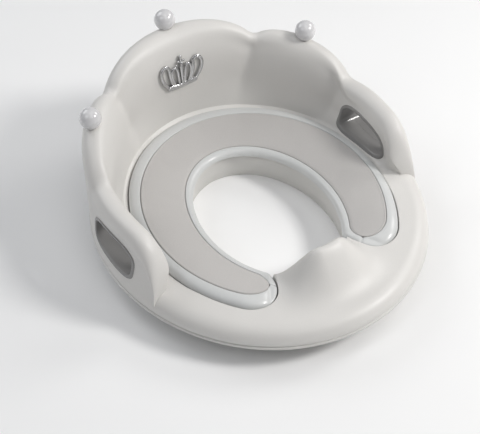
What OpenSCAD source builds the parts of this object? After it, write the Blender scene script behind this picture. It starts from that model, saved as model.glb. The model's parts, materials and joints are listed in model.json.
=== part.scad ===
// Toddler toilet seat: a ring with a lobed backrest, two arms with grip openings and a lift-out cushion.
// +X is to the right, +Y is toward the backrest, and Z = 0 is the foot of the splash skirt.

/* [Ring] */
// Width of the base rim
base_w = 332; // [328:1:336]
// Length of the base rim, front to back
base_l = 360; // [356:1:364]
// Height of the flat seat ring above the toilet
ring_h = 18; // [17:0.5:19]
// Wall thickness of the mouldings
wall = 2.4; // [2:0.2:2.6]

/* [Hole and skirt] */
// Width of the hole
hole_w = 140; // [136:1:142]
// Length of the hole, front to back
hole_l = 190; // [186:1:192]
// Depth of the splash skirt below the ring
skirt_h = 24; // [20:1:28]
// Rise of the splash guard's ridge above the flat ring
guard_rise = 37; // [26:1:40]

/* [Backrest and arms] */
// Height of the middle lobe above the toilet
back_h = 122; // [116:1:128]
// Height of the two side lobes
side_h = 101; // [96:1:106]
// Height of the arms
arm_h = 74; // [70:1:78]
// Height of the crease between the middle lobe and a side lobe
crease_1_h = 94; // [90:1:98]
// Height of the crease between a side lobe and an arm
crease_2_h = 72; // [68:1:74]
// Thickness of a lobe at its top roll
lobe_t = 28; // [26:1:30]

/* [Grip openings] */
// Length of a grip opening, bezel included
grip_l = 72; // [66:1:74]
// Height of a grip opening, bezel included
grip_h = 37; // [33:1:38]

/* [Cushion] */
// Width of the cushion over its frame
cushion_w = 255; // [253:0.5:255.5]
// Width of the soft pad
pad_w = 234; // [230:1:235]
// Height of the pad's outer edge above the toilet
pad_h = 25; // [24:0.5:26]
// How much lower the pad's inner edge lies
pad_dish = 9; // [8:0.5:9.5]

/* [Trim] */
// Diameter of the balls on the lobes
ball_d = 21.4; // [20:0.2:22]
// Width of the crown emblem
emblem_w = 53; // [46:1:54]

/* [Hidden] */
$fn = 48;

// The seat axis stands this far in front of the base rim's middle. Angles run round it from the back.
axis_shift = 11;
// The creases between the lobes, the start and end of an arm's nose, and the ends of the cushion
crease_1 = 30;
crease_2 = 67;
nose_start = 86;
nose_end = 108.5;
tip_start = 137;
tip_end = 152.5;
lip_tip_start = 147.5;
pad_tip_start = 135;
pad_tip_end = 148.6;
well_end = 153;
well_gap = 0.8;          // gap round the cushion's frame

bead_h = 4.8;            // height of the base rim's bead
bead_out = 1;            // how far the bead stands out from the upper shell
floor_h = 7;             // the upper shell's floor under the cushion
seam_h = 2.8;            // where the upper shell ends in the hole
roll_v = 14;             // vertical radius of the lobes' top roll
ring_roll = 16;          // radius of the ring's outer shoulder
crease_depth = 4.5;      // how far a crease draws in
inner_roll = 8;          // radius of the top roll's inner side
roll_end = 145;          // where the lobes' top roll passes into the inner face
arm_lean = 8;            // how far an arm's outer face leans in at its top

function mix(a, b, t) = a + (b - a) * t;
function smooth(t) = t * t * (3 - 2 * t);
function clamp(t) = min(1, max(0, t));
function dome(u, p, q) = pow(max(0, 1 - pow(abs(u), p)), q);
function between(x, a, b) = (2 * x - a - b) / (b - a);

// Distance from the seat axis to an oval of half width a and half length b, whose middle lies d behind it
function oval(p, a, b, d) =
    let (k = pow(sin(p) / a, 2) + pow(cos(p) / b, 2),
         m = cos(p) * d / (b * b))
    (m + sqrt(m * m + k * (1 - d * d / (b * b)))) / k;

function base_r(p) = oval(p, base_w / 2, base_l / 2, axis_shift);
function hole_r(p) = oval(p, hole_w / 2, hole_l / 2, -5);
function frame_out_r(p) = oval(p, cushion_w / 2, 146.25, 3.75);
function lip_r(p) = oval(p, hole_w / 2 - 4.3, hole_l / 2 - 5, -5);
function pad_out_r(p) = oval(p, pad_w / 2, 130.75, 2.75);
function pad_in_r(p) = oval(p, hole_w / 2 + 3.3, hole_l / 2 + 3, -4.5);

// 1 along the cushion, falling to 0 at its round tip. The inner edge turns in later than the outer one.
function tip(p, from, to) = dome(clamp((p - from) / (to - from)), 2, 0.5);
// Both edges of a tip meet nearer to its inner side
function tip_r(inner, outer) = mix(inner, outer, 0.4);
function frame_edge(p, r, from, to) = mix(tip_r(lip_r(p), frame_out_r(p)), r, tip(p, from, to));
function pad_mid(p) = tip_r(pad_in_r(p), pad_out_r(p));
function pad_edge_in(p) = mix(pad_mid(p), pad_in_r(p), tip(p, pad_tip_start + 6, pad_tip_end));
function pad_edge_out(p) = mix(pad_mid(p), pad_out_r(p), tip(p, pad_tip_start, pad_tip_end));

// Smallest and largest value of a place and its two neighbours
function least(v) = min(v[0], min(v[1], v[2]));
function most(v) = max(v[0], max(v[1], v[2]));
function around(p, e) = [abs(p - e), p, p + e];

// 1 where a lobe or an arm stands, falling round the arm's nose to 0 on the bare ring
function nose(p) = dome(clamp((p - nose_start) / (nose_end - nose_start)), 2.4, 0.5);
// 1 in the middle of each lobe, 0 in the creases
function swell(p) =
    p < crease_1 ? dome(p / crease_1, 4, 0.5)
    : p < crease_2 ? dome(between(p, crease_1, crease_2), 4, 0.5)
    : dome(between(p, crease_2, nose_end + 4), 4, 0.5);
function crest(p) =
    p < crease_1 ? mix(crease_1_h, back_h, dome(p / crease_1, 2.2, 0.6))
    : p < crease_2 ?
        let (u = between(p, crease_1, crease_2), base = mix(crease_1_h, crease_2_h, (u + 1) / 2))
        base + (side_h - (crease_1_h + crease_2_h) / 2) * dome(u, 2.2, 0.6)
    : mix(ring_h + 1.5, mix(crease_2_h, arm_h, smooth(clamp((p - crease_2) / 12))), nose(p));
// How much of the splash guard's rise stands at this angle
function guard(p) = smooth(clamp((p - 151) / 24));
// The edge of the cushion's well
function well_r(p) =
    p < well_end ? max(hole_r(p) + 1.2, frame_edge(p, frame_out_r(p), tip_start, well_end) + well_gap)
    : hole_r(p) + 1.2;

function bezier(a, b, c, d, t) =
    pow(1 - t, 3) * a + 3 * t * pow(1 - t, 2) * b + 3 * t * t * (1 - t) * c + pow(t, 3) * d;

// The outer line of the upper shell's section, [radius, height], from the rim over the top to the hole.
// The cavity's line takes the lowest and widest of its neighbourhood e, so that steep ends keep a wall.
function skin(p, e) =
    let (w = least([for (q = around(p, e)) nose(q)]),
         f = least([for (q = around(p, e)) swell(q)]),
         g = least([for (q = around(p, e)) guard(min(q, 180))]),
         top = least([for (q = around(p, e)) crest(q)]),
         edge = most([for (q = around(p, e)) well_r(min(q, 180))]),
         out_r = base_r(p) - bead_out,
         draw = crease_depth * (1 - f),
         lean = arm_lean * smooth(clamp((p - 62) / 34)),
         half = mix(ring_roll, (lobe_t - lean) / 2 - draw, w),
         mid_r = out_r - (draw + lean) * w - half,
         mid_h = top - roll_v,
         turn = mix(90, roll_end, clamp(1.6 * w)),
         start = [mid_r + inner_roll * cos(turn), top - inner_roll * (1 - sin(turn))],
         finish = [edge, ring_h + (guard_rise - 3) * g],
         reach = norm(start - finish),
         lead = start + mix(0.36, 0.3, w) * reach * [-sin(turn), cos(turn)] + [draw * w, 0],
         tail = finish + mix([6, 0.6 + 15 * g], [5 + draw, 0.33 * reach], clamp(1.6 * w)))
    concat(
        [for (i = [0 : 3]) [mix(out_r, mid_r + half, smooth(i / 4)), mix(bead_h, mid_h, i / 4)]],
        [for (i = [0 : 8])
            let (a = turn * i / 8, roll = a > 90 ? [inner_roll, inner_roll] : [half, roll_v])
            [mid_r + roll[0] * cos(a), top - roll[1] * (1 - sin(a))]],
        [for (i = [1 : 6]) bezier(start, lead, tail, finish, i / 6)],
        [[edge, floor_h], [hole_r(p), floor_h], [hole_r(p), seam_h]]
    );

function left_of(a, b) = let (d = b - a) [-d[1], d[0]] / norm(d);
// A line moved to its left by t, with mitred corners
function moved(line, t) =
    let (n = len(line))
    [for (i = [0 : n - 1])
        let (u = left_of(line[max(i - 1, 0)], line[max(i, 1)]),
             v = left_of(line[min(i, n - 2)], line[min(i + 1, n - 1)]))
        line[i] + t * (u + v) / (1 + u * v)];

function reversed(v) = [for (i = [len(v) - 1 : -1 : 0]) v[i]];
// Angles from a up to b, closer together at both ends
function spread(a, b, n) =
    [for (i = [0 : n - 1]) mix(a, b, mix(i / n, (1 - cos(180 * i / n)) / 2, 0.75))];
half_round = concat(
    spread(0, crease_1, 7), spread(crease_1, crease_2, 10), spread(crease_2, nose_end, 15),
    spread(nose_end, tip_start, 5), [for (i = [0 : 7]) mix(tip_start, well_end, sin(90 * i / 8))],
    spread(well_end, 180, 7)
);
all_round = concat(half_round, [180], [for (i = [len(half_round) - 1 : -1 : 1]) -half_round[i]]);

// A point of a section placed in space
function placed(p, rz) = [rz[0] * sin(p), rz[0] * cos(p) - axis_shift, rz[1] + skirt_h];

// A solid through a row of closed sections, either joined end to end or closed by caps
module loft(rings, joined) {
    n = len(rings[0]);
    m = len(rings);
    sides = [
        for (j = [0 : joined ? m - 1 : m - 2], i = [0 : n - 1], half = [0, 1])
            let (a = j * n + i, b = j * n + (i + 1) % n,
                 c = ((j + 1) % m) * n + (i + 1) % n, d = ((j + 1) % m) * n + i)
            half == 0 ? [a, b, c] : [a, c, d]
    ];
    caps = joined ? [] : [[for (i = [n - 1 : -1 : 0]) i], [for (i = [0 : n - 1]) (m - 1) * n + i]];
    polyhedron([for (ring = rings) each ring], concat(sides, caps), convexity = 6);
}

// Radius of a section's face at a height, read from a stretch of its line
function radius_at(line, from, to, h) = lookup(h, [for (i = [from : to]) [line[i][1], line[i][0]]]);
function inner_face_r(p, h) = radius_at(skin(p, 0), 12, 18, h);
function outer_face_r(p, h) = radius_at(skin(p, 0), 0, 8, h);
// X of an arm's face at a point along Y and a height, closing in on the angle in a few steps
function arm_x(y, h, outside, x = 150, steps = 5) =
    steps == 0 ? x
    : let (p = atan2(x, y + axis_shift), r = outside ? outer_face_r(p, h) : inner_face_r(p, h))
      arm_x(y, h, outside, sqrt(r * r - pow(y + axis_shift, 2)), steps - 1);

function mirrored_angles(v) = concat([for (i = [len(v) - 1 : -1 : 1]) -v[i]], v);

screw_d = 3;
screw_head_d = 6;
pilot_d = screw_d + 0.1;
case_angles = [24, 60, 112, 160];
peg_angles = [22, 75, 120];
cushion_screw_angles = [0, 48, 98, 131];
peg_d = 6;
function case_r(p) = well_r(p) + wall + 3.2;
function cushion_mid_r(p) = (pad_in_r(p) + pad_out_r(p)) / 2;

// Angle, radius and height of each ball's middle, and the height of the lobe's crest under it
ball_angle = 48.5;
ball_sink = 0.3;          // how deep a ball sits in the crest
function roll_mid_r(p) = base_r(p) - bead_out - lobe_t / 2;
balls = [
    [-ball_angle, roll_mid_r(ball_angle) + 3.8, side_h],
    [0, roll_mid_r(0) + 7, back_h],
    [ball_angle, roll_mid_r(ball_angle) + 3.8, side_h]
];
function crest_under(b) =
    b[2] - roll_v + roll_v * sqrt(1 - pow((b[1] - roll_mid_r(abs(b[0]))) / (lobe_t / 2), 2));
spigot_d = 5;
spigot_depth = 18;

grip_y = 6;
grip_mid_h = 37;
grip_split_x = 148;
bezel_w = 2.2;
sleeve_t = 1.6;
// The grip's outline is squarer along its foot than along its top; grow moves it out all round
function signed_pow(v, q) = sign(v) * pow(abs(v), q);
function grip_at(a, grow) =
    let (q = sin(a) < 0 ? 2 / 4.5 : 2 / 2.6)
    [grip_y + (grip_l / 2 + grow) * signed_pow(cos(a), q),
     grip_mid_h + (grip_h / 2 + grow) * signed_pow(sin(a), q)];
grip_angles = [for (a = [0 : 7.5 : 352.5]) a];

// Moves its children to a spot at an angle round the axis, a radius and a height above the toilet
module at(p, r, h) {
    translate(placed(p, [r, h])) children();
}
// Repeats its children at the angles on both sides, radius and height given per angle
module both_sides(angles, radii, h) {
    for (i = [0 : len(angles) - 1], side = angles[i] == 0 ? [1] : [-1, 1])
        at(side * angles[i], radii[i], h) children();
}

// ---- Upper shell ----

module shell_body() {
    loft([
        for (p = all_round)
            [for (rz = concat(moved(skin(abs(p), 1.1), wall), reversed(skin(abs(p), 0)))) placed(p, rz)]
    ], true);
}

// Socket inside a lobe that takes a ball's spigot, with a web to the outer wall
module ball_socket(b) {
    drop = crest_under(b);
    web_l = roll_mid_r(abs(b[0])) + lobe_t / 2 - 1.2 - b[1];
    at(b[0], b[1], drop - spigot_depth - 2.4) {
        cylinder(d = spigot_d + 4, h = 14);
        rotate(-b[0]) translate([-1.2, 0, 0]) cube([2.4, web_l, 12]);
    }
}
// A ball's hole through the crest, the pilot hole under it, and the dimple the ball sits in
module ball_hole(b) {
    drop = crest_under(b);
    at(b[0], b[1], drop - spigot_depth) cylinder(d = spigot_d + 0.4, h = spigot_depth + 4);
    at(b[0], b[1], drop - spigot_depth - 4) cylinder(d = pilot_d, h = 5);
    at(b[0], b[1], drop - ball_sink + ball_d / 2) sphere(d = ball_d + 0.4);
}

module grip_cut(side) {
    ends = side > 0 ? 110 : -180;
    translate([ends, 0, skirt_h]) rotate([90, 0, 90]) linear_extrude(70)
        polygon([for (a = grip_angles) grip_at(a, -bezel_w + 0.1)]);
}

module upper_shell() {
    color("#e4e2de") difference() {
        union() {
            shell_body();
            both_sides(case_angles, [for (p = case_angles) case_r(p)], 5.4) cylinder(d = 8.4, h = 10.4);
            for (b = balls) ball_socket(b);
        }
        both_sides(case_angles, [for (p = case_angles) case_r(p)], 4) cylinder(d = pilot_d, h = 10);
        both_sides(peg_angles, [for (p = peg_angles) cushion_mid_r(p)], 3) cylinder(d = peg_d + 0.8, h = 6);
        for (b = balls) ball_hole(b);
        for (side = [-1, 1]) grip_cut(side);
        emblem_place() emblem_pegs(0.1);
    }
}

// ---- Base shell ----

module base_shell() {
    color("#d9d7d3") difference() {
        union() {
            loft([
                for (p = all_round)
                    let (b = base_r(abs(p)), h = hole_r(abs(p)))
                    [for (rz = [
                        [h, seam_h - 0.2], [b - bead_out - wall, seam_h - 0.2],
                        [b - bead_out - wall, bead_h - 0.2], [b - bead_out, bead_h - 0.2],
                        [b - 0.3, bead_h - 0.7], [b, 3], [b, 1.4], [b - 0.8, 0.3], [b - 1.8, 0],
                        [h + wall, 0], [h + wall - 0.4, 0.6 - skirt_h], [h + wall - 1, -skirt_h],
                        [h + 0.6, -skirt_h], [h, 0.6 - skirt_h]
                    ]) placed(p, rz)]
            ], true);
            both_sides(case_angles, [for (p = case_angles) case_r(p)], 0.4) cylinder(d = 9.4, h = 4);
        }
        both_sides(case_angles, [for (p = case_angles) case_r(p)], -1)
            cylinder(d = screw_head_d + 0.4, h = 3.6);
        both_sides(case_angles, [for (p = case_angles) case_r(p)], 0) cylinder(d = screw_d + 0.4, h = 8);
    }
}

// A self-tapping screw that points up, its head's underside at the origin
module screw(length, d, head_d) {
    cylinder(d = d, h = length - 1.5);
    translate([0, 0, length - 1.5]) cylinder(d1 = d, d2 = d / 3, h = 1.5);
    difference() {
        translate([0, 0, -1.9]) cylinder(d = head_d, h = 1.9);
        for (turn = [0, 90])
            translate([0, 0, -1.9]) rotate(turn) cube([head_d * 0.6, 0.8, 1.6], center = true);
    }
}

module case_screws() {
    color("#8f9296")
        both_sides(case_angles, [for (p = case_angles) case_r(p)], 2.6) screw(11, screw_d, screw_head_d);
}

// ---- Rubber strips ----

strip_w = 12;
strip_t = 1.8;
// Half round that closes a strip at a spot, seen along the way from its neighbour
function round_end(before, spot) =
    let (u = (spot - before) / norm(spot - before), v = [-u[1], u[0]])
    [for (a = [75 : -15 : -75]) spot + strip_w / 2 * (cos(a) * u + sin(a) * v)];
// A flat strip under the ring between two angles
module nonslip_strip(from, to) {
    function strip_r(p) = mix(hole_r(abs(p)), base_r(abs(p)), 0.55);
    line = [
        for (i = [0 : 10])
            let (p = mix(from, to, i / 10))
            [strip_r(p) * sin(p), strip_r(p) * cos(p) - axis_shift]
    ];
    color("#6f7073") translate([0, 0, skirt_h - strip_t]) linear_extrude(strip_t) polygon(concat(
        moved(line, strip_w / 2), round_end(line[9], line[10]),
        reversed(moved(line, -strip_w / 2)), round_end(line[1], line[0])
    ));
}
module nonslip_strip_back_right() { nonslip_strip(18, 56); }
module nonslip_strip_back_left() { nonslip_strip(-56, -18); }
module nonslip_strip_front_right() { nonslip_strip(120, 156); }
module nonslip_strip_front_left() { nonslip_strip(-156, -120); }

// ---- Cushion ----

// Height of the pad's surface at a radius: it falls from its outer edge to the hole
function pad_surface(p, r) = mix(pad_h - pad_dish, pad_h, (r - pad_in_r(p)) / (pad_out_r(p) - pad_in_r(p)));
well_depth = [5.2, 7.8];       // depth of the frame's well for the pad at its inner and outer edge
function well_floor(p, r) =
    let (t = (r - pad_in_r(p)) / (pad_out_r(p) - pad_in_r(p)))
    pad_surface(p, r) - mix(well_depth[0], well_depth[1], t);
plate_t = 2.4;

// The frame's section: outer wall, rounded border, the pad's well, the lip round the hole, the underside
function frame_section(p) =
    let (out = frame_edge(p, frame_out_r(p), tip_start, tip_end),
         lip = frame_edge(p, lip_r(p), lip_tip_start, tip_end),
         mid = tip_r(lip_r(p), frame_out_r(p)),
         well_out = max(pad_edge_out(p), mid) + 0.5,
         well_in = min(pad_edge_in(p), mid) - 0.5,
         web_in = min(well_in + 1.6, mid - 0.3),
         web_out = max(well_out - 1, mid + 0.3),
         deep = p < pad_tip_end ? 1 : 0,
         rim_out = pad_surface(p, well_out) - 0.3,
         rim_in = pad_surface(p, well_in) - 0.3,
         foot = ring_h - 1,
         base = floor_h + 0.5)
    concat(
        [[out, base]],
        [for (a = [0 : 22.5 : 90]) [mix(well_out + 0.6, out, cos(a)), mix(foot, rim_out, sin(a))]],
        [[well_out, rim_out - 0.2], [well_out, mix(rim_out - 0.4, well_floor(p, well_out), deep)],
         [well_in, mix(rim_in - 0.4, well_floor(p, well_in), deep)], [well_in, rim_in - 0.2]],
        [for (a = [90 : -30 : 0]) [mix(well_in - 0.6, lip, cos(a)), mix(base + 1, rim_in, sin(a))]],
        [[lip, base], [lip + 2, base], [web_in, base + 0.9], [web_out, foot - 2.4],
         [max(web_out + 1.8, out - 4), foot - 1.6], [out - 2, foot - 3], [out - 2, base]]
    );

// Angles along the cushion, closer together round its tips, up to the tip itself
function cushion_angles(from, to) =
    mirrored_angles(concat(
        [for (i = [0 : 19]) from * i / 20], [for (i = [0 : 10]) mix(from, to, sin(90 * i / 11.4))]
    ));

module cushion_frame() {
    color("#eceff0") difference() {
        union() {
            loft([
                for (p = cushion_angles(tip_start, tip_end))
                    [for (rz = reversed(frame_section(abs(p)))) placed(p, rz)]
            ], false);
            both_sides(peg_angles, [for (p = peg_angles) cushion_mid_r(p)], 3.8) cylinder(d = peg_d, h = 9);
            both_sides(cushion_screw_angles, [for (p = cushion_screw_angles) cushion_mid_r(p)], 10.2)
                cylinder(d = 8, h = 2.8);
        }
        both_sides(cushion_screw_angles, [for (p = cushion_screw_angles) cushion_mid_r(p)], 9)
            cylinder(d = 2.8, h = 8);
    }
}

// A flat-bottomed horseshoe that lies in the frame's well, between two heights above the well's floor
module horseshoe(inset, bottom, angles, top_of) {
    loft([
        for (p = angles)
            let (q = abs(p), a = pad_edge_in(q) + inset, b = pad_edge_out(q) - inset)
            [for (rz = reversed(concat(
                [[a, well_floor(q, a) + bottom], [b, well_floor(q, b) + bottom]], top_of(q, a, b)
            ))) placed(p, rz)]
    ], false);
}

pad_edge = 1.6;
module cushion_pad() {
    color("#bdbab6") horseshoe(
        0, plate_t + 0.15, cushion_angles(pad_tip_start, pad_tip_end),
        function (p, a, b) [
            [b, pad_surface(p, b) - pad_edge],
            [b - 0.5 * min(pad_edge, b - a), pad_surface(p, b) - 0.3 * pad_edge],
            [mix(a, b, 0.75), pad_surface(p, mix(a, b, 0.75)) + 0.5],
            [mix(a, b, 0.5), pad_surface(p, mix(a, b, 0.5)) + 0.8],
            [mix(a, b, 0.25), pad_surface(p, mix(a, b, 0.25)) + 0.5],
            [a + 0.5 * min(pad_edge, b - a), pad_surface(p, a) - 0.3 * pad_edge],
            [a, pad_surface(p, a) - pad_edge]
        ]
    );
}

module pad_plate() {
    color("#6d6f71") difference() {
        horseshoe(
            1.5, 0.1, cushion_angles(pad_tip_start, pad_tip_end - 2),
            function (p, a, b) [[b, well_floor(p, b) + plate_t], [a, well_floor(p, a) + plate_t]]
        );
        both_sides(cushion_screw_angles, [for (p = cushion_screw_angles) cushion_mid_r(p)], 10)
            cylinder(d = 2.7, h = 12);
    }
}

module cushion_screws() {
    color("#8f9296")
        both_sides(cushion_screw_angles, [for (p = cushion_screw_angles) cushion_mid_r(p)], 10.2)
            screw(5.4, 2.6, 5);
}

// ---- Grip liners ----

// Half a liner: a sleeve from the split inside the arm to one face, and a bezel that lies on that face
module grip_liner(outside) {
    sign_x = outside ? 1 : -1;
    rise = 0.8;
    seat_gap = outside ? 0.35 : -0.15;
    function face(yz) = arm_x(yz[0], yz[1], outside);
    start = grip_split_x + sign_x * 0.05;
    color("#8b8987") loft([
        for (a = grip_angles)
            let (bore = grip_at(a, -bezel_w - sleeve_t), wall_side = grip_at(a, -bezel_w),
                 rim = grip_at(a, 0), brow = grip_at(a, -0.7))
            let (line = [
                [start, bore], [face(bore) + sign_x * 0.5, bore], [face(brow) + sign_x * rise, brow],
                [face(rim) + seat_gap, rim], [face(wall_side) + seat_gap, wall_side],
                [start, wall_side]
            ])
            [for (v = outside ? reversed(line) : line) [v[0], v[1][0], v[1][1] + skirt_h]]
    ], true);
}
module grip_liner_right_outer() { grip_liner(true); }
module grip_liner_right_inner() { grip_liner(false); }
module grip_liner_left_outer() { mirror([1, 0, 0]) grip_liner(true); }
module grip_liner_left_inner() { mirror([1, 0, 0]) grip_liner(false); }

// ---- Balls ----

module ball(i) {
    b = balls[i];
    drop = crest_under(b);
    color("#e9e8ea") difference() {
        union() {
            at(b[0], b[1], drop - ball_sink + ball_d / 2) sphere(d = ball_d);
            at(b[0], b[1], drop - spigot_depth + 0.2) cylinder(d = spigot_d, h = spigot_depth + 4);
        }
        at(b[0], b[1], drop - spigot_depth - 1) cylinder(d = pilot_d - 0.6, h = 10);
    }
}
module ball_left() { ball(0); }
module ball_centre() { ball(1); }
module ball_right() { ball(2); }

module ball_screws() {
    color("#8f9296")
        for (b = balls) at(b[0], b[1], crest_under(b) - spigot_depth - 2.5) screw(10, 2.4, 5);
}

// ---- Crown emblem ----

emblem_h = 79;
emblem_lean = 7;
emblem_t = 2.6;
emblem_bend = 112;       // radius of the hollow lobe behind the emblem
emblem_gap = 0.35;
function lobe_y(h) = inner_face_r(0, h) - axis_shift;
// Moves its children to the emblem's middle, X across it, Y up it and Z out of the lobe
module emblem_place() {
    translate([0, lobe_y(emblem_h), emblem_h + skirt_h]) rotate([90 - emblem_lean, 0, 0]) children();
}
module emblem_pegs(grow) {
    for (x = [-12, 12]) translate([x, -15.5, -9]) cylinder(d = 3 + 2 * grow, h = 10);
}
// A band of the emblem's thickness that follows the hollow lobe
module emblem_band() {
    heights = [for (h = [55 : 6 : 103]) h];
    function back_r(h) = emblem_bend + lobe_y(h) - lobe_y(emblem_h) - emblem_gap;
    translate([0, lobe_y(emblem_h) - emblem_bend, skirt_h]) rotate_extrude($fn = 96) polygon(concat(
        [for (h = heights) [back_r(h), h]], [for (h = reversed(heights)) [back_r(h) - emblem_t, h]]
    ));
}
// An open oval loop, leaning outward
module petal(x, y, rx, ry, lean, w) {
    function turned(v) = [x + v[0] * cos(lean) + v[1] * sin(lean), y - v[0] * sin(lean) + v[1] * cos(lean)];
    difference() {
        polygon([for (a = [0 : 10 : 350]) turned([rx * cos(a), ry * sin(a)])]);
        polygon([for (a = [0 : 10 : 350]) turned([(rx - w) * cos(a), (ry - w) * sin(a)])]);
    }
}
module crown_emblem() {
    unit = emblem_w / 50;
    color("#b9b9bc") {
        intersection() {
            emblem_place() translate([0, 0, -6]) linear_extrude(14) scale(unit) {
                for (side = [-1, 1]) mirror([side < 0 ? 1 : 0, 0]) {
                    petal(14.6, -1.5, 8.6, 12.6, 24, 2.4);
                    petal(5.6, -0.6, 5.6, 14, 9, 2);
                }
                translate([-15.5, -18]) square([31, 5.4]);
                translate([-1.4, -15]) square([2.8, 31]);
                translate([0, 14]) circle(d = 5.4);
                translate([0, 17.8]) circle(d = 3.6);
            }
            emblem_band();
        }
        emblem_place() emblem_pegs(0);
    }
}

upper_shell();
base_shell();
cushion_frame();
cushion_pad();
pad_plate();
cushion_screws();
grip_liner_left_inner();
grip_liner_left_outer();
grip_liner_right_inner();
grip_liner_right_outer();
ball_left();
ball_centre();
ball_right();
ball_screws();
crown_emblem();
case_screws();
nonslip_strip_front_left();
nonslip_strip_front_right();
nonslip_strip_back_left();
nonslip_strip_back_right();
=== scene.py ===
"""Looks of the toddler toilet seat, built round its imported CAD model.

Shapes are worked out in millimetres, in the CAD frame: +X right, +Y to the backrest, +Z up.
Sections are [radius, height] lines round the seat's axis; angles run from the back, in degrees.
"""

import json
import math

import bmesh
import bpy
from mathutils import Matrix, Vector
from mathutils.bvhtree import BVHTree


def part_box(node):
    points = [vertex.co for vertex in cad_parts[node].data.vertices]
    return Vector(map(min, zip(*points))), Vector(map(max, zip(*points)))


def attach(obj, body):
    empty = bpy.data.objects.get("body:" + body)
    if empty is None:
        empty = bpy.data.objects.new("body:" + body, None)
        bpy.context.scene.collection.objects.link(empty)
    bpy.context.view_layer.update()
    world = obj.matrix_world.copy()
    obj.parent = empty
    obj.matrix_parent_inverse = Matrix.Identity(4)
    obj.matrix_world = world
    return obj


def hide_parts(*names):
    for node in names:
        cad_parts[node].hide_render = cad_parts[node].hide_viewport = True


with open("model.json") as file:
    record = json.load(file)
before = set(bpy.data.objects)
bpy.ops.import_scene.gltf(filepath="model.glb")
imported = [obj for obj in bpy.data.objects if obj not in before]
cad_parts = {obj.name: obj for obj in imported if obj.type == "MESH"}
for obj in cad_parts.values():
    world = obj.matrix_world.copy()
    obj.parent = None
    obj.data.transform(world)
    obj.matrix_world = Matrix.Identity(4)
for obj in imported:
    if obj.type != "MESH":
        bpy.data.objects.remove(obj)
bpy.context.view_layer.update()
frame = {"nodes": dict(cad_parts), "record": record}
MM = 0.001


# ---- Sizes, in millimetres ----

BASE_HALF_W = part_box("base_shell")[1].x / MM
BASE_HALF_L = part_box("base_shell")[1].y / MM
SKIRT_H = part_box("nonslip_strip_back_left")[1].z / MM
FRAME_HALF_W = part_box("cushion_frame")[1].x / MM
PAD_HALF_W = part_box("cushion_pad")[1].x / MM
AXIS_SHIFT = 11                           # how far the seat axis stands in front of the base's middle
HOLE_HALF_W, HOLE_HALF_L = 70, 95
FRAME_HALF_L, PAD_HALF_L = 146.25, 130.75
HOLE_BEHIND, FRAME_BEHIND = -5, 3.75      # how far behind the seat axis the middles of the ovals lie
PAD_BEHIND, PAD_HOLE_BEHIND = 2.75, -4.5
LIP_GAP_W, LIP_GAP_L = 4.3, 5             # how far the frame's lip stands inside the hole
PAD_GAP_W, PAD_GAP_L = 3.3, 3             # how far the pad stays off the hole
RING_H, WALL = 18, 2.4
FLOOR_H, SEAM_H = 7, 2.8                  # the well's floor, and the seam between the two mouldings
BEAD_H, BEAD_OUT = 4.8, 1.0
BACK_H, SIDE_H, ARM_H = 122, 101, 74      # tops of the lobes and the arms above the toilet
CREASE_1, CREASE_2 = 30, 67               # angles of the creases
CREASE_1_H, CREASE_2_H = 94, 72
NOSE_START, NOSE_END = 91, 107.5          # angles between which an arm's end falls to the ring
TIP_START, TIP_END, WELL_END = 137, 152.5, 153
LIP_TIP_START = 147.5
PAD_TIP_START, PAD_TIP_END = 135, 148.6
WELL_GAP = 0.8
LOBE_T, ROLL_V, RING_ROLL = 28, 14, 16    # thickness of a lobe, height of its top roll, the ring's shoulder
LOBE_ROLL, LOBE_ROLL_END = 9, 122         # radius and end of the top roll's inner side on a lobe
ARM_ROLL, ARM_ROLL_END, ARM_LEAN = 13, 165, 8
CREASE_DEPTH, CREASE_SLANT, NOSE_SLANT = 7.0, 6.5, 9.0
GUARD_RISE = 37
PAD_H, PAD_DISH = 25, 9                   # height of the pad's outer edge, and how far it falls inward
GRIP_Y, GRIP_MID_H, GRIP_L, GRIP_H = 6, 37, 72, 37
BEZEL_W, SLEEVE_T, GRIP_SPLIT_X = 2.2, 1.6, 148
WALL_ROWS, ROLL_STEPS, FACE_STEPS = 14, 24, 120          # rows of points down a section of the upper shell
TOP_ROWS, WELL_ROWS, LIP_ROWS = 26, 10, 10
FOOT_STEP = 1.2                           # width of the small step at the foot of a lobe
FAR_OUT = 400                             # a radius beyond every part


# ---- Small maths ----

def mix(a, b, t):
    return a + (b - a) * t


def clamp(t):
    return min(1.0, max(0.0, t))


def smooth(t):
    t = clamp(t)
    return t * t * (3 - 2 * t)


def dome(u, p, q):
    return max(0.0, 1 - abs(u) ** p) ** q


def between(x, a, b):
    return (2 * x - a - b) / (b - a)


def sin(deg):
    return math.sin(math.radians(deg))


def cos(deg):
    return math.cos(math.radians(deg))


def oval(p, a, b, d):
    """Distance from the seat axis to an oval of half sizes a and b whose middle lies d behind the axis."""
    k = (sin(p) / a) ** 2 + (cos(p) / b) ** 2
    m = cos(p) * d / (b * b)
    return (m + math.sqrt(m * m + k * (1 - d * d / (b * b)))) / k


def base_r(p):
    return oval(p, BASE_HALF_W, BASE_HALF_L, AXIS_SHIFT)


def hole_r(p):
    return oval(p, HOLE_HALF_W, HOLE_HALF_L, HOLE_BEHIND)


def frame_out_r(p):
    return oval(p, FRAME_HALF_W, FRAME_HALF_L, FRAME_BEHIND)


def lip_r(p):
    return oval(p, HOLE_HALF_W - LIP_GAP_W, HOLE_HALF_L - LIP_GAP_L, HOLE_BEHIND)


def pad_out_r(p):
    return oval(p, PAD_HALF_W, PAD_HALF_L, PAD_BEHIND)


def pad_in_r(p):
    return oval(p, HOLE_HALF_W + PAD_GAP_W, HOLE_HALF_L + PAD_GAP_L, PAD_HOLE_BEHIND)


def tip(p, start, end):
    """1 along the cushion, falling to 0 at its round tip."""
    return dome(clamp((p - start) / (end - start)), 2, 0.5)


def tip_r(inner, outer):
    return mix(inner, outer, 0.4)


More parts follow.
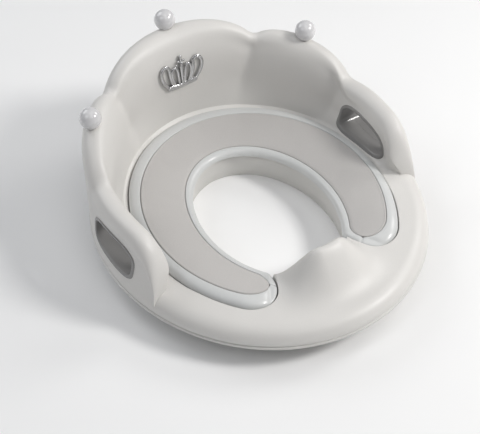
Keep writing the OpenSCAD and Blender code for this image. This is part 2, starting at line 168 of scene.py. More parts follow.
def frame_edge(p, r, start, end):
    return mix(tip_r(lip_r(p), frame_out_r(p)), r, tip(p, start, end))


def pad_edges(p):
    """Inner and outer radius of the pad."""
    middle = tip_r(pad_in_r(p), pad_out_r(p))
    inner = mix(middle, pad_in_r(p), tip(p, PAD_TIP_START + 6, PAD_TIP_END))
    outer = mix(middle, pad_out_r(p), tip(p, PAD_TIP_START, PAD_TIP_END))
    return inner, outer


def pad_surface(p, r):
    return mix(PAD_H - PAD_DISH, PAD_H, (r - pad_in_r(p)) / (pad_out_r(p) - pad_in_r(p)))


# ---- The shell's shape round the seat ----

def nose(p):
    return dome(clamp((p - NOSE_START) / (NOSE_END - NOSE_START)), 2.4, 0.5)


def lobe_place(p):
    """Where an angle lies across its lobe, from -1 to 1."""
    if p < CREASE_1:
        return p / CREASE_1
    if p < CREASE_2:
        return between(p, CREASE_1, CREASE_2)
    return between(p, CREASE_2, NOSE_END + 4)


def swell(p):
    return dome(lobe_place(p), 2, 0.9)


def crest(p):
    if p < CREASE_1:
        return mix(CREASE_1_H, BACK_H, dome(p / CREASE_1, 2.4, 0.7))
    if p < CREASE_2:
        u = between(p, CREASE_1, CREASE_2)
        low = mix(CREASE_1_H, CREASE_2_H, (u + 1) / 2)
        return low + (SIDE_H - (CREASE_1_H + CREASE_2_H) / 2) * dome(u, 2.4, 0.7)
    arm = mix(CREASE_2_H, ARM_H, smooth((p - CREASE_2) / 12))
    return mix(RING_H + 1.5, arm, nose(p))


def guard(p):
    return smooth((p - 151) / 24)


def bezier(a, b, c, d, t):
    s = 1 - t
    return [s ** 3 * a[i] + 3 * t * s * s * b[i] + 3 * t * t * s * c[i] + t ** 3 * d[i] for i in (0, 1)]


def resampled(line, count):
    """The same line through count points, evenly spaced along it."""
    steps = [0.0]
    for a, b in zip(line, line[1:]):
        steps.append(steps[-1] + math.dist(a, b))
    if steps[-1] < 1e-9:
        return [list(line[0]) for _ in range(count)]
    result, j = [], 0
    for i in range(count):
        want = steps[-1] * i / (count - 1)
        while j < len(line) - 2 and steps[j + 1] < want:
            j += 1
        t = (want - steps[j]) / max(1e-9, steps[j + 1] - steps[j])
        result.append([mix(line[j][k], line[j + 1][k], clamp(t)) for k in (0, 1)])
    return result


def clipped(line, low, high):
    """The part of a line whose radius lies between low and high, from the outside in."""
    inside = []
    for a, b in zip(line, line[1:]):
        span = b[0] - a[0]
        for limit in sorted((low, high), reverse=True):
            if span < 0 and b[0] < limit < a[0]:
                t = (limit - a[0]) / span
                inside.append([limit, mix(a[1], b[1], t)])
        if low <= b[0] <= high:
            inside.append(b)
    return inside


def rounded(corner, before, after, radius, count=4):
    """Points that round a corner, given the directions to its two neighbours."""
    a = [corner[i] + before[i] * radius for i in (0, 1)]
    b = [corner[i] + after[i] * radius for i in (0, 1)]
    points = []
    for i in range(count):
        t = i / (count - 1)
        points.append([(1 - t) ** 2 * a[k] + 2 * t * (1 - t) * corner[k] + t * t * b[k] for k in (0, 1)])
    return points


def well_edge(q):
    return frame_edge(q, frame_out_r(q), TIP_START, WELL_END) + WELL_GAP


def foot_r(q):
    """Where the inner face of a lobe or the bare ring's top ends, before the fillet at a lobe's foot."""
    return mix(well_edge(q) + FOOT_STEP, hole_r(q) + 1.4, smooth((q - 112) / 12))


def soft_crest(q):
    """The crest with its valleys rounded."""
    if q > 80:
        return crest(q)
    return sum(crest(abs(q + d)) for d in (-1.8, -0.9, 0, 0.9, 1.8)) / 5


def top_roll(q):
    """Half width, middle and height of the roll along the top at an angle."""
    stand = nose(q)
    lean = ARM_LEAN * smooth((q - 62) / 34)
    draw = CREASE_DEPTH * (1 - swell(q))
    half = mix(RING_ROLL, (LOBE_T - lean) / 2 - 0.4 * draw, stand)
    mid_r = base_r(q) - BEAD_OUT - (0.4 * draw + lean) * stand - half
    return half, mid_r, soft_crest(q)


def inner_roll(q):
    """Radius and end of the top roll's inner side: soft on the lobes and round on the arms."""
    arm = smooth((q - 60) / 14)
    radius = mix(LOBE_ROLL, ARM_ROLL, arm)
    return radius, mix(90, mix(LOBE_ROLL_END, ARM_ROLL_END, arm), clamp(1.6 * nose(q)))


def inner_face(q, t):
    """A point of the shell's inner side, from the top roll (t = 0) to the well or the guard's ridge."""
    up = clamp(1.6 * nose(q))
    rise = guard(q)
    half, mid_r, top = top_roll(q)
    radius, turn = inner_roll(q)
    start = [mid_r + radius * cos(turn), top - radius * (1 - sin(turn))]
    foot = [foot_r(q) + 2.6 * up, RING_H + 1.6 * up + (GUARD_RISE - 3) * rise]
    reach = math.dist(start, foot)
    along = mix(0.36, 0.3, up) * reach
    lead = [start[0] - along * sin(turn), start[1] + along * cos(turn)]
    tail = [foot[0] + mix(6, 5, up), foot[1] + mix(0.6 + 15 * rise, 0.3 * reach, up)]
    r, h = bezier(start, lead, tail, foot, t)
    fold = CREASE_DEPTH * (1 - swell(q)) * smooth(t / 0.22) * mix(1, 0.15, smooth((t - 0.6) / 0.4))
    return r + up * fold, h


def slant(q):
    """How many degrees further back a crease or an arm's end lies at its foot than at its top."""
    return mix(CREASE_SLANT, NOSE_SLANT, smooth((q - 70) / 18)) * (1 - smooth((q - 108) / 24))


def shell_section(p):
    """The closed section of the upper shell at an angle, from its rim over the top to the hole."""
    q = abs(p)
    out_r = base_r(q) - BEAD_OUT
    half, mid_r, crest_h = top_roll(q)
    mid_h = crest_h - ROLL_V
    radius, turn = inner_roll(q)

    # Outer wall and top roll
    step = 1.2 * smooth((q - 70) / 30) * clamp(1.6 * nose(q))
    wall = []
    for i in range(WALL_ROWS):
        h = mix(BEAD_H + 0.1, mid_h, i / WALL_ROWS)
        under = smooth((h - 9) / 12) * (1 - smooth((h - mid_h + 5) / 7))
        wall.append([mix(out_r, mid_r + half, smooth(i / WALL_ROWS)) - step * under, h])
    roll = []
    for i in range(ROLL_STEPS + 1):
        a = turn * i / ROLL_STEPS
        wide, high = (radius, radius) if a > 90 else (half, ROLL_V)
        roll.append([mid_r + wide * cos(a), crest_h - high * (1 - sin(a))])

    # Inner face of a lobe, or the ring's top and the splash guard; creases and the arm's end lean back
    edge = well_edge(q)
    top = []
    for i in range(FACE_STEPS + 1):
        t = i / FACE_STEPS
        far = q + slant(q) * t
        r, h = inner_face(min(far, 180), t)
        span = (out_r - foot_r(q)) / (base_r(far) - BEAD_OUT - foot_r(far))
        top.append([foot_r(q) + (r - foot_r(far)) * span, h])
    foot_up = clamp(1.6 * nose(q + slant(q)))
    if foot_up > 0:
        foot = edge + FOOT_STEP
        top += [[foot + 1.0 * foot_up, RING_H + 0.25 * foot_up], [foot, RING_H]]

    # The well for the cushion; round the tip its inner side stands up again as a small lip
    closed = q >= WELL_END
    core = tip_r(lip_r(q), frame_out_r(q))
    inner = core if closed else frame_edge(q, lip_r(q), LIP_TIP_START, WELL_END) - WELL_GAP
    hole = hole_r(q)
    if closed:
        outer_top = resampled(clipped(top, core, FAR_OUT), TOP_ROWS)
        point = outer_top[-1]
        well = [list(point) for _ in range(WELL_ROWS)]
        lip_top = resampled([point] + clipped(top, foot_r(q), core - 0.01), LIP_ROWS)
    else:
        outer_top = resampled(clipped(top, edge + 1.0, FAR_OUT), TOP_ROWS)
        rim_h = outer_top[-1][1]
        well = rounded([edge, rim_h], [1, 0.02], [0, -1], 1.0)
        lip_h = mix(FLOOR_H, RING_H, smooth((q - 150.4) / 1.8))
        inner = max(hole + 0.01, inner)
        well += [[edge, FLOOR_H], [inner, FLOOR_H]]
        fillet = min(1.0, (lip_h - FLOOR_H) / 2, (inner - hole) / 3)
        well += rounded([inner, lip_h], [0, -1], [-1, 0], fillet)
        flat = [[well[-1][0], lip_h], [hole + 0.6 * clamp(inner - hole), lip_h]]
        lip_top = resampled(flat, LIP_ROWS)
    last = lip_top[-1]
    bend = min(1.6, (last[1] - SEAM_H) / 3, max(0.02, last[0] - hole))
    hole_edge = rounded([hole + 0.02, last[1]], [max(0.02, last[0] - hole - 0.02) / bend, 0], [0, -1], bend)
    closing = [
        [hole, SEAM_H], [hole + 2, SEAM_H + 0.1], [out_r - WALL - 0.3, SEAM_H + 0.1],
        [out_r - WALL - 0.3, BEAD_H], [out_r - 0.5, BEAD_H],
    ]
    return wall + roll[:-1] + outer_top + well + lip_top + hole_edge + closing


# ---- Mesh making ----

def placed(p, rz):
    return (rz[0] * sin(p) * MM, (rz[0] * cos(p) - AXIS_SHIFT) * MM, (rz[1] + SKIRT_H) * MM)


def new_object(name, verts, faces):
    mesh = bpy.data.meshes.new(name)
    mesh.from_pydata([tuple(v) for v in verts], [], faces)
    obj = bpy.data.objects.new(name, mesh)
    bpy.context.scene.collection.objects.link(obj)
    return obj


def loft_faces(n, m, joined):
    """Faces through m rings of n points, joined end to end or capped."""
    faces = []
    for j in range(m if joined else m - 1):
        for i in range(n):
            k, l = (j + 1) % m, (i + 1) % n
            faces.append((j * n + i, j * n + l, k * n + l, k * n + i))
    if not joined:
        faces.append(tuple(reversed(range(n))))
        faces.append(tuple(range((m - 1) * n, m * n)))
    return faces


def loft(name, rings, joined):
    """A closed solid through rings of points."""
    verts = [v for ring in rings for v in ring]
    return cleaned(new_object(name, verts, loft_faces(len(rings[0]), len(rings), joined)))


def cleaned(obj, distance=2e-6):
    """Merges doubled points and turns every face outward."""
    bm = bmesh.new()
    bm.from_mesh(obj.data)
    bmesh.ops.remove_doubles(bm, verts=bm.verts, dist=distance)
    bmesh.ops.dissolve_degenerate(bm, edges=bm.edges, dist=distance)
    bmesh.ops.recalc_face_normals(bm, faces=bm.faces)
    bm.to_mesh(obj.data)
    bm.free()
    return obj


def shade(obj, degrees=38):
    """Smooth shading that breaks at edges sharper than an angle."""
    obj.data.shade_smooth()
    obj.data.set_sharp_from_angle(angle=math.radians(degrees))
    return obj


def applied(obj, modifier):
    """Applies one modifier to its object's mesh."""
    bpy.context.view_layer.update()
    depsgraph = bpy.context.evaluated_depsgraph_get()
    mesh = bpy.data.meshes.new_from_object(obj.evaluated_get(depsgraph))
    obj.modifiers.remove(modifier)
    old, obj.data = obj.data, mesh
    bpy.data.meshes.remove(old)
    return obj


def cut(obj, cutters):
    for cutter in cutters:
        modifier = obj.modifiers.new("cut", "BOOLEAN")
        modifier.operation = "DIFFERENCE"
        modifier.solver = "EXACT"
        modifier.object = cutter
        applied(obj, modifier)
        bpy.data.objects.remove(cutter)
    return obj


def spread(a, b, n, ends=0.7):
    """Angles from a up to b, closer together at both ends."""
    return [mix(a, b, mix(i / n, (1 - cos(180 * i / n)) / 2, ends)) for i in range(n)]


def eased(a, b, n):
    """Angles from a up to b, closer together towards b."""
    return [mix(a, b, sin(90 * i / n)) for i in range(n)]


def half_round():
    return (
        spread(0, CREASE_1, 26) + spread(CREASE_1, CREASE_2, 32) + spread(CREASE_2, NOSE_START, 14, 0.3)
        + eased(NOSE_START, NOSE_END, 26) + spread(NOSE_END, TIP_START, 18, 0.4)
        + eased(TIP_START, WELL_END, 24) + spread(WELL_END, 180, 26, 0.3)
    )


def all_round():
    half = half_round()
    return half + [180] + [-p for p in reversed(half[1:])]


# ---- Grips ----

def signed_pow(v, q):
    return math.copysign(abs(v) ** q, v)


def grip_outline(a, grow):
    """A point (y, z) of the grip opening: square along its foot, arched along its top."""
    q = 2 / 4.5 if sin(a) < 0 else 2 / 2.6
    return (
        GRIP_Y + (GRIP_L / 2 + grow) * signed_pow(cos(a), q),
        GRIP_MID_H + SKIRT_H + (GRIP_H / 2 + grow) * signed_pow(sin(a), q),
    )


GRIP_ANGLES = [a * 3.75 for a in range(96)]


def grip_cutter(side):
    near, far = side * 95 * MM, side * 190 * MM
    rings = []
    for x in (near, far):
        outline = [grip_outline(a, -BEZEL_W + 0.1) for a in GRIP_ANGLES]
        rings.append([(x, y * MM, z * MM) for y, z in outline])
    return loft("grip_cutter", rings, False)


def surface_of(obj):
    points = [v.co for v in obj.data.vertices]
    return BVHTree.FromPolygons(points, [p.vertices[:] for p in obj.data.polygons])


def arm_face(tree, side, outside, y, z):
    """X of an arm's inner or outer face, in millimetres, for the arm on that side."""
    start = 200 if outside else 100
    way = -side if outside else side
    hit = tree.ray_cast(Vector((side * start * MM, y * MM, z * MM)), Vector((way, 0, 0)))[0]
    return abs(hit.x) / MM


def grip_liner(name, tree, side, outside):
    """Half a liner: a smooth sleeve and a rounded bezel that lies on the arm's face."""
    out = 1 if outside else -1
    split = GRIP_SPLIT_X + out * 0.05
    profile = [(-3.8, 0.0), (-3.7, 0.35), (-3.2, 0.85), (-2.4, 1.05), (-1.4, 1.0), (-0.5, 0.7), (0.0, 0.1)]
    rings = []
    for a in GRIP_ANGLES:
        ring = []
        bore = grip_outline(a, -BEZEL_W - SLEEVE_T)
        mouth = arm_face(tree, side, outside, *grip_outline(a, -BEZEL_W - SLEEVE_T))
        for t in (0, 0.3, 0.6, 0.85):
            ring.append((mix(split, mouth, t), bore))
        for grow, lift in profile:
            y, z = grip_outline(a, grow)
            ring.append((arm_face(tree, side, outside, y, z) + out * lift, (y, z)))
        sleeve = grip_outline(a, -BEZEL_W)
        back = arm_face(tree, side, outside, *sleeve) + out * 0.05
        ring += [(back, sleeve), (split, sleeve)]
        rings.append([(side * x * MM, yz[0] * MM, yz[1] * MM) for x, yz in ring])
    return shade(loft(name, rings, True), 50)


# ---- Cushion ----

def cushion_angles(start, end, along, round_tip):
    half = [start * i / along for i in range(along)] + [
        mix(start, end, sin(90 * i / (round_tip + 0.4))) for i in range(round_tip + 1)
    ]
    return [-p for p in reversed(half[1:])] + half


def frame_ring(p):
    q = abs(p)
    out = frame_edge(q, frame_out_r(q), TIP_START, TIP_END)
    lip = frame_edge(q, lip_r(q), LIP_TIP_START, TIP_END)
    middle = tip_r(lip_r(q), frame_out_r(q))
    pad_in, pad_out = pad_edges(q)
    well_out, well_in = max(pad_out, middle) + 0.45, min(pad_in, middle) - 0.45
    deep = 4.5 if q < PAD_TIP_END else 0.0
    foot, base = RING_H - 1, FLOOR_H + 0.5
    stand = dome(clamp((q - PAD_TIP_END - 0.4) / (TIP_END - PAD_TIP_END - 0.4)), 2, 0.5)
    rim_out = mix(foot, pad_surface(q, well_out) - 0.5, stand)
    rim_in = mix(foot - 1, pad_surface(q, well_in) - 0.5, stand)
    line = [[out - 0.6, base], [out, base + 0.6], [out, foot - 2]]
    for a in range(0, 91, 9):
        line.append([mix(well_out + 0.7, out, cos(a) ** 0.9), mix(foot, rim_out, sin(a) ** 0.9)])
    line += [[well_out + 0.25, rim_out - 0.12], [well_out, rim_out - 0.5], [well_out, rim_out - 0.6 - deep]]
    line += [[well_in, rim_in - 0.6 - deep * 0.5], [well_in, rim_in - 0.5], [well_in - 0.25, rim_in - 0.12]]
    for a in range(90, -1, -9):
        line.append([mix(well_in - 0.7, lip, cos(a)), mix(base + 2.2, rim_in, sin(a))])
    line += [[lip, base + 0.6], [lip + 0.6, base]]
    return [placed(p, rz) for rz in line]


def make_frame():
    angles = cushion_angles(TIP_START, TIP_END, 64, 26)
    return shade(loft("cushion_border", [frame_ring(p) for p in angles], False), 42)


PAD_ROUND = 1.5


def pad_ring(p):
    """A ring of the pad: flat foot, rounded edges and a top with a low crown."""
    q = abs(p)
    a, b = pad_edges(q)
    width = max(0.3, b - a)
    bend = min(PAD_ROUND, width * 0.45)
    foot_b, foot_a = pad_surface(q, b) - 4.6, pad_surface(q, a) - 2.6
    line = [[b - 0.2, foot_b], [b, foot_b + 0.3]]
    for i in range(1, 6):
        turn = 90 * i / 6
        line.append([b - bend * (1 - cos(turn)), pad_surface(q, b) - bend * (1 - sin(turn))])
    for i in range(15):
        t = i / 14
        r = mix(b - bend, a + bend, t)
        line.append([r, pad_surface(q, r) + 0.45 * dome(2 * t - 1, 2, 1)])
    for i in range(5, 0, -1):
        turn = 90 * i / 6
        line.append([a + bend * (1 - cos(turn)), pad_surface(q, a) - bend * (1 - sin(turn))])
    line += [[a, foot_a + 0.3], [a + 0.2, foot_a]]
    return [placed(p, rz) for rz in line]


def make_pad():
    angles = cushion_angles(PAD_TIP_START, PAD_TIP_END, 72, 22)
    pad = loft("seat_pad", [pad_ring(p) for p in angles], False)
    puffed(pad, pressure=3.0, cap=0.9 * MM)
    return shade(pad, 60)


def puffed(obj, pressure, cap):
    """Swells a closed mesh as cloth under pressure; no point moves further than the cap."""
    mesh = obj.data
    rest = [v.co.copy() for v in mesh.vertices]
    lows = pinned_foot(obj)
    cloth = obj.modifiers.new("cloth", "CLOTH")
    settings = cloth.settings
    settings.vertex_group_mass = lows
    settings.use_pressure = True
    settings.uniform_pressure_force = pressure
    settings.tension_stiffness = 25
    settings.compression_stiffness = 25
    settings.bending_stiffness = 8
    settings.mass = 0.3
    settings.effector_weights.gravity = 0
    scene = bpy.context.scene
    for number in range(1, 21):
        scene.frame_set(number)
    applied(obj, cloth)
    scene.frame_set(1)
    for vertex, start in zip(obj.data.vertices, rest):
        move = vertex.co - start
        if move.length > cap:
            vertex.co = start + move * (cap / move.length)
    obj.vertex_groups.clear()


def pinned_foot(obj):
    """A vertex group that holds the pad's lower half and rounded edges where they sit in the frame."""
    group = obj.vertex_groups.new(name="foot")
    for vertex in obj.data.vertices:
        x, y, z = (c / MM for c in vertex.co)
        p = abs(math.degrees(math.atan2(x, y + AXIS_SHIFT)))
        a, b = pad_edges(min(p, PAD_TIP_END))
        r = math.hypot(x, y + AXIS_SHIFT)
        if z - SKIRT_H < pad_surface(p, r) - 0.6 or r > b - 1.2 or r < a + 1.2:
            group.add([vertex.index], 1.0, "REPLACE")
    return group.name


# ---- Base, balls and emblem ----

def base_ring(p):
    q = abs(p)
    b, h = base_r(q), hole_r(q)
    line = [
        [h, SEAM_H - 0.35], [h + 0.25, SEAM_H - 0.15], [b - BEAD_OUT - WALL, SEAM_H - 0.2],
        [b - BEAD_OUT - WALL, BEAD_H - 0.5], [b - BEAD_OUT - 0.6, BEAD_H - 0.5],
    ]
    for a in range(100, -101, -20):
        line.append([b - 2.1 + 2.1 * cos(a), 2.1 + 2.0 * sin(a)])
    line += [
        [b - 6, 0], [h + WALL + 1.5, 0], [h + WALL, -1.5], [h + WALL - 0.4, 0.6 - SKIRT_H],
        [h + WALL - 0.8, 0.1 - SKIRT_H], [h + 1.2, -SKIRT_H], [h + 0.5, 0.1 - SKIRT_H], [h, 0.8 - SKIRT_H],
    ]
    return [placed(p, rz) for rz in line]


def cylinder(name, centre, radius, low, high, sides=40):
    rings = []
    for z in (low, high):
        rings.append([(centre[0] + radius * cos(360 * i / sides) * MM,
                       centre[1] + radius * sin(360 * i / sides) * MM, z) for i in range(sides)])
    return loft(name, rings, False)


def islands(node):
    """Middle of each separate solid of a CAD node."""
    mesh = frame["nodes"][node].data
    bm = bmesh.new()
    bm.from_mesh(mesh)
    bmesh.ops.remove_doubles(bm, verts=bm.verts, dist=1e-5)
    seen, middles = set(), []
    for first in bm.verts:
        if first in seen:
            continue
        stack, group = [first], []
        seen.add(first)
        while stack:
            vertex = stack.pop()
            group.append(vertex.co.copy())
            for edge in vertex.link_edges:
                other = edge.other_vert(vertex)
                if other not in seen:
                    seen.add(other)
                    stack.append(other)
        low = Vector([min(v[i] for v in group) for i in range(3)])
        high = Vector([max(v[i] for v in group) for i in range(3)])
        middles.append((low + high) / 2)
    bm.free()
    return middles


def make_base():
    base = loft("base_moulding", [base_ring(p) for p in all_round()], True)
    foot = SKIRT_H * MM
    cutters = []
    for middle in islands("case_screws"):
        cutters.append(cylinder("counterbore", middle, 3.3, foot - 2 * MM, foot + 2.0 * MM))
        cutters.append(cylinder("clearance", middle, 1.7, foot, foot + 6 * MM))
    return shade(cut(base, cutters), 40)


def lathe(name, centre, profile, sides=64):
    """A solid turned round a vertical axis; profile is [radius, height] in millimetres above centre."""
    rings = []
    for i in range(sides):
        a = 360 * i / sides
        rings.append([(centre[0] + r * cos(a) * MM, centre[1] + r * sin(a) * MM, centre[2] + h * MM)
                      for r, h in profile])
    return loft(name, rings, True)


BALL_SINK = 1.4


def ball_place(node):
    """Middle and radius of a ball, a little deeper in its crest than the CAD ball."""
    low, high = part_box(node)
    radius = (high.x - low.x) / 2 / MM
    return Vector(((low.x + high.x) / 2, (low.y + high.y) / 2, high.z - (radius + BALL_SINK) * MM)), radius


def turned_ball(name, centre, radius, pin_r, pin_foot):
    """A ball with the pin that goes down into the lobe."""
    low_turn = -math.degrees(math.acos(pin_r / radius))
    profile = [[0, pin_foot], [pin_r, pin_foot], [pin_r, radius * sin(low_turn)]]
    for i in range(1, 41):
        turn = mix(low_turn, 90, i / 40)
        profile.append([radius * cos(turn) if i < 40 else 0, radius * sin(turn)])
    return lathe(name, centre, profile)


def make_ball(node):
    centre, radius = ball_place(node)
    foot = (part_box(node)[0].z - centre.z) / MM
    return shade(turned_ball(node + "_pearl", centre, radius, 2.4, foot), 50)


def ball_cutter(node):
    centre, radius = ball_place(node)
    return turned_ball("dimple", centre, radius + 0.15, 2.6, -radius - 20)


def tube(path, thick, square=0.6):
    """Rings of a rod swept along a path of points (x, y); thick gives half its width and its height."""
    sides = 16
    rings = []
    for i, spot in enumerate(path):
        a, b = path[max(i - 1, 0)], path[min(i + 1, len(path) - 1)]
        along = Vector((b[0] - a[0], b[1] - a[1])).normalized()
        wide, high = thick(i / (len(path) - 1))
        ring = []
        for k in range(sides):
            c, s = (signed_pow(f(360 * k / sides), square) for f in (cos, sin))
            rise = high * (0.5 + 0.5 * s)
            ring.append((spot[0] - along.y * wide * c, spot[1] + along.x * wide * c, rise))
        rings.append(ring)
    return rings


def smooth_path(points, count):
    """A smooth line through a few points."""
    result = []
    n = len(points)
    for i in range(count):
        s = i / (count - 1) * (n - 1)
        k = min(int(s), n - 2)
        t = s - k
        a, b = points[max(k - 1, 0)], points[k]
        c, d = points[k + 1], points[min(k + 2, n - 1)]
        result.append(tuple(
            0.5 * (2 * b[j] + (c[j] - a[j]) * t + (2 * a[j] - 5 * b[j] + 4 * c[j] - d[j]) * t * t
                   + (3 * b[j] - a[j] - 3 * c[j] + d[j]) * t ** 3) for j in (0, 1)))
    return result


def bead(x, y, radius, middle_h):
    """Rings of a bead of the emblem, on its own short axis up the emblem."""
    rings = []
    for i in range(13):
        turn = 15 * i - 90
        reach = radius * max(0.02, cos(turn))
        rings.append([(x + reach * cos(22.5 * k), y + radius * sin(turn), middle_h + reach * sin(22.5 * k))
                      for k in range(16)])
    return rings


# The right half of the crown, in millimetres from its middle: X across and Y up the emblem
OUTER_ARCH = [
    (16.2, -11), (20.8, -4), (23.4, 3), (23.7, 9),
    (21.7, 13.6), (18.2, 15.1), (15, 13), (13.9, 8),
]
OUTER_ARCH += [(13.5, 2), (12.2, -4), (10.4, -11)]
INNER_ARCH = [
    (8, -11), (10.4, -4), (11.4, 3), (10.8, 7.6), (8.2, 10),
    (5.6, 8.6), (4.4, 4), (3.8, -3), (3, -11),
]
CROWN_BAR = [(-17.3, -12.2), (-9, -13.6), (0, -14.1), (9, -13.6), (17.3, -12.2)]
CROWN_HALF_W = 25.3
EMBLEM_LEAN = 7


def post_size(t):
    """Half width and height of the crown's post: it widens up to its neck and narrows above it."""
    neck = 0.72
    wide = mix(1.1, 2.4, t / neck) if t < neck else mix(1.6, 0.9, (t - neck) / (1 - neck))
    return wide, 4.0


def make_emblem(tree):
    """A plated crown: a rounded bar, four open arches, and a centre post with beads and a small cross."""
    low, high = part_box("crown_emblem")
    scale = (high.x - low.x) / 2 / CROWN_HALF_W / MM
    middle_h = (low.z + high.z) / 2 - 1.2 * MM
    rods = []
    for side in (-1, 1):
        for points, wide in ((OUTER_ARCH, 1.9), (INNER_ARCH, 1.6)):
            path = smooth_path([(side * x, y) for x, y in points], 56)
            rods.append(tube(path, lambda t, wide=wide: (wide, 3.4)))
        rods.append(bead(side * 5.6, 12.2, 1.2, 2.6))
        rods.append(bead(side * 2.9, 16.4, 1.4, 2.9))
    bar = smooth_path(CROWN_BAR, 44)
    rods.append(tube(bar, lambda t: (3.1 * dome(2 * t - 1, 18, 0.5) + 0.05, 3.8), 0.8))
    ridge = [(x * 0.97, y + 2.4) for x, y in bar]
    rods.append(tube(ridge, lambda t: (1.0 * dome(2 * t - 1, 18, 0.5) + 0.05, 4.2)))
    post = [(0, mix(-12, 20.5, i / 60)) for i in range(61)]
    rods.append(tube(post, post_size))
    rods.append(tube([(mix(-3.2, 3.2, i / 12), 16.4) for i in range(13)], lambda t: (0.7, 3.4)))
    rods.append(bead(0, 21.4, 1.7, 2.7))
    rods.append(bead(0, 14.2, 1.9, 3.0))
    verts, faces = [], []
    for rings in rods:
        base = len(verts)
        verts += [v for ring in rings for v in ring]
        faces += [tuple(base + i for i in face) for face in loft_faces(len(rings[0]), len(rings), False)]
    emblem = new_object("crown", [Vector(v) * MM * scale for v in verts], faces)
    foot = wall_y(tree, 0, middle_h)
    emblem.data.transform(Matrix.Translation((0, foot, middle_h)) @ Matrix.Rotation(
        math.radians(90 - EMBLEM_LEAN), 4, "X"))
    slope = math.tan(math.radians(EMBLEM_LEAN))
    for vertex in emblem.data.vertices:
        x, z = vertex.co.x, vertex.co.z
        vertex.co.y += wall_y(tree, x, z) - foot - (z - middle_h) * slope - 0.1 * MM
    return shade(cleaned(emblem, 1e-7), 60)


def wall_y(tree, x, z):
    """Where the backrest's hollow face stands at a place."""
    return tree.ray_cast(Vector((x, 0.02, z)), Vector((0, 1, 0)))[0].y


# ---- Materials ----

def link(tree, a, out, b, into):
    tree.links.new(a.outputs[out], b.inputs[into])


def material(name, colour, rough, speckle=0.02, grain=600, bump=0.02, coat=0.0, metallic=0.0, blotch=0.03,
             specular=0.5, rough_spread=0.06):
    """A moulded finish: faint mottling and grain in its colour, uneven gloss and a fine bump."""
    mat = bpy.data.materials.new(name)
    mat.use_nodes = True
    tree = mat.node_tree
    shader = tree.nodes["Principled BSDF"]
    shader.inputs["Metallic"].default_value = metallic
    shader.inputs["Specular IOR Level"].default_value = specular
    shader.inputs["Coat Weight"].default_value = coat
    shader.inputs["Coat Roughness"].default_value = 0.12
    place = tree.nodes.new("ShaderNodeTexCoord")
    large = noise(tree, place, 9, 3)
    small = noise(tree, place, grain, 2)
    dark = [c * (1 - blotch) for c in colour]
    light = [min(1, c * (1 + blotch * 0.6)) for c in colour]
    mottle = ramp(tree, large, "Fac", (0.35, dark), (0.65, light))
    fleck = ramp(tree, small, "Fac", (0.3, [1 - speckle] * 3), (0.7, [1] * 3))
    blend = tree.nodes.new("ShaderNodeMix")
    blend.data_type = "RGBA"
    blend.blend_type = "MULTIPLY"
    blend.inputs["Factor"].default_value = 1.0
    tree.links.new(mottle.outputs["Color"], blend.inputs["A"])
    tree.links.new(fleck.outputs["Color"], blend.inputs["B"])
    tree.links.new(blend.outputs["Result"], shader.inputs["Base Color"])
    wear = noise(tree, place, 38, 4)
    gloss = tree.nodes.new("ShaderNodeMapRange")
    gloss.inputs["To Min"].default_value = max(0.02, rough - rough_spread)
    gloss.inputs["To Max"].default_value = min(1.0, rough + rough_spread)
    link(tree, wear, "Fac", gloss, "Value")
    link(tree, gloss, "Result", shader, "Roughness")
    relief = tree.nodes.new("ShaderNodeBump")
    relief.inputs["Strength"].default_value = bump
    relief.inputs["Distance"].default_value = 0.001
    link(tree, small, "Fac", relief, "Height")
    link(tree, relief, "Normal", shader, "Normal")
    return mat


def noise(tree, place, scale, detail):
    node = tree.nodes.new("ShaderNodeTexNoise")
    node.inputs["Scale"].default_value = scale
    node.inputs["Detail"].default_value = detail
    link(tree, place, "Object", node, "Vector")
    return node


def ramp(tree, source, socket, low, high):
    node = tree.nodes.new("ShaderNodeValToRGB")
    for element, (position, colour) in zip(node.color_ramp.elements, (low, high)):
        element.position = position
        element.color = (*colour, 1)
    link(tree, source, socket, node, "Fac")
    return node


FINISHES = {
    "shell": material("satin_shell", (0.74, 0.725, 0.70), 0.42, bump=0.05, grain=900),
    "base": material("satin_base", (0.70, 0.69, 0.665), 0.45, bump=0.05, grain=900),
    "frame": material("gloss_frame", (0.67, 0.68, 0.675), 0.34, bump=0.015, grain=300, coat=0.25),
    "pad": material(
        "soft_pad", (0.565, 0.548, 0.532), 0.62, speckle=0.07, grain=1500, bump=0.25, blotch=0.02),
    "plate": material("insert_plate", (0.2, 0.2, 0.205), 0.5, bump=0.06, grain=500),
    "liner": material("gloss_liner", (0.27, 0.265, 0.26), 0.24, bump=0.03, grain=500, coat=0.3),
    "ball": material("pearl", (0.72, 0.715, 0.725), 0.16, bump=0.01, grain=300, coat=1.0, blotch=0.02),
    "emblem": material("plated_crown", (0.62, 0.62, 0.625), 0.17, bump=0.05, grain=700, metallic=1.0),
    "screw": material("zinc", (0.5, 0.51, 0.53), 0.34, bump=0.12, grain=1200, metallic=1.0),
    "strip": material("strip_rubber", (0.11, 0.11, 0.115), 0.75, speckle=0.15, grain=1400, bump=0.4),
}
SLOT_OF = {part["node"]: part["material_slot"] for part in frame["record"]["subparts"]}


def finish_piece(obj, nodes, body="seat"):
    """Gives a piece its finish and body, and lets it stand for its CAD nodes."""
    slot = SLOT_OF[nodes[0]]
    obj.data.materials.clear()
    obj.data.materials.append(FINISHES[slot])
    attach(obj, body)
    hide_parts(*nodes)
    return obj


# ---- Build ----

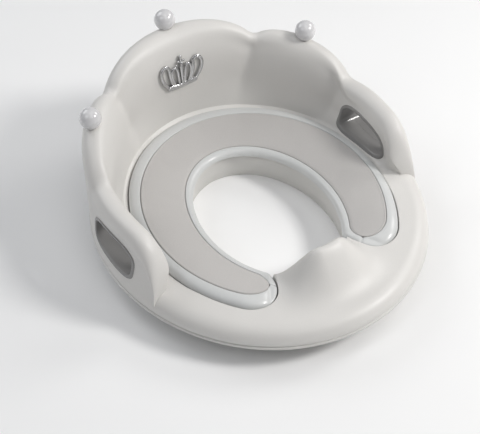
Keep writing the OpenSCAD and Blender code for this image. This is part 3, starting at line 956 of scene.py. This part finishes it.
shell = loft("seat_shell", [[placed(p, rz) for rz in shell_section(p)] for p in all_round()], True)
shell_tree = surface_of(shell)
for side, side_name in ((-1, "left"), (1, "right")):
    for outside, place_name in ((False, "inner"), (True, "outer")):
        node = f"grip_liner_{side_name}_{place_name}"
        finish_piece(grip_liner(node + "_sleeve", shell_tree, side, outside), [node])
finish_piece(make_emblem(shell_tree), ["crown_emblem"])
BALLS = ("ball_left", "ball_centre", "ball_right")
cut(shell, [grip_cutter(-1), grip_cutter(1)] + [ball_cutter(node) for node in BALLS])
finish_piece(shade(shell, 36), ["upper_shell"])
finish_piece(make_base(), ["base_shell"])
for node in BALLS:
    finish_piece(make_ball(node), [node])
finish_piece(make_frame(), ["cushion_frame"], "cushion")
pad = finish_piece(make_pad(), ["cushion_pad"], "cushion")
KEPT = ["pad_plate", "cushion_screws", "ball_screws", "case_screws"]
KEPT += [node for node in frame["nodes"] if node.startswith("nonslip_strip")]
for node in KEPT:
    mesh = frame["nodes"][node].data
    mesh.materials.clear()
    mesh.materials.append(FINISHES[SLOT_OF[node]])


# ---- Floor, light and camera ----

def stage_floor():
    half = 6.0
    corners = [(-half, -half, 0), (half, -half, 0), (half, half, 0), (-half, half, 0)]
    floor = new_object("floor", corners, [(0, 1, 2, 3)])
    finish = material("pale_floor", (0.95, 0.95, 0.95), 0.9, speckle=0.0, blotch=0.003, bump=0.0)
    floor.data.materials.append(finish)


def area_light(name, position, target, size, power, colour=(1, 1, 1)):
    data = bpy.data.lights.new(name, "AREA")
    data.shape = "DISK"
    data.size = size
    data.energy = power
    data.color = colour
    lamp = bpy.data.objects.new(name, data)
    lamp.location = position
    lamp.rotation_euler = (Vector(target) - Vector(position)).to_track_quat("-Z", "Y").to_euler()
    bpy.context.scene.collection.objects.link(lamp)


# Lamps round the seat: azimuth from +X, elevation, size in metres, power in watts, tint
LAMPS = {
    "key": (-42, 42, 0.45, 16.5, (1, 0.985, 0.965)),
    "right": (0, 36, 0.7, 6.5, (1, 0.99, 0.97)),
    "back": (112, 36, 1.2, 8.0, (0.97, 0.985, 1)),
    "left": (180, 48, 0.9, 3.4, (0.96, 0.98, 1)),
    "front": (-95, 58, 1.0, 3.0, (1, 0.99, 0.98)),
    "top": (0, 88, 1.2, 3.0, (1, 1, 1)),
}


def stage_light():
    middle = Vector((0, 0, 0.06))
    for name, (azimuth, elevation, size, power, tint) in LAMPS.items():
        ray = Vector((cos(azimuth) * cos(elevation), sin(azimuth) * cos(elevation), sin(elevation)))
        area_light(name, middle + 1.8 * ray, middle, size, power, tint)
    world = bpy.data.worlds.new("studio")
    world.use_nodes = True
    world.node_tree.nodes["Background"].inputs["Color"].default_value = (0.93, 0.95, 1, 1)
    world.node_tree.nodes["Background"].inputs["Strength"].default_value = 0.15
    bpy.context.scene.world = world


def stage_camera():
    """The photograph's view: turned 33 degrees to the left and looking down by 47."""
    turn, down = -0.580079534, 0.815410448
    place = (-0.41885, -0.60719, 0.79619)
    right = Vector((math.cos(turn), math.sin(turn), 0))
    ahead = Vector((-math.sin(turn), math.cos(turn), 0))
    up = ahead * math.sin(down) + Vector((0, 0, 1)) * math.cos(down)
    back = -(ahead * math.cos(down) - Vector((0, 0, 1)) * math.sin(down))
    data = bpy.data.cameras.new("camera")
    data.sensor_fit = "HORIZONTAL"
    data.sensor_width = 36
    data.lens = 79.07
    camera = bpy.data.objects.new("camera", data)
    facing = Matrix((right, up, back)).transposed().to_4x4()
    camera.matrix_world = Matrix.Translation(place) @ facing
    bpy.context.scene.collection.objects.link(camera)
    bpy.context.scene.camera = camera


stage_floor()
stage_light()
stage_camera()
bpy.context.scene.view_settings.view_transform = "Standard"
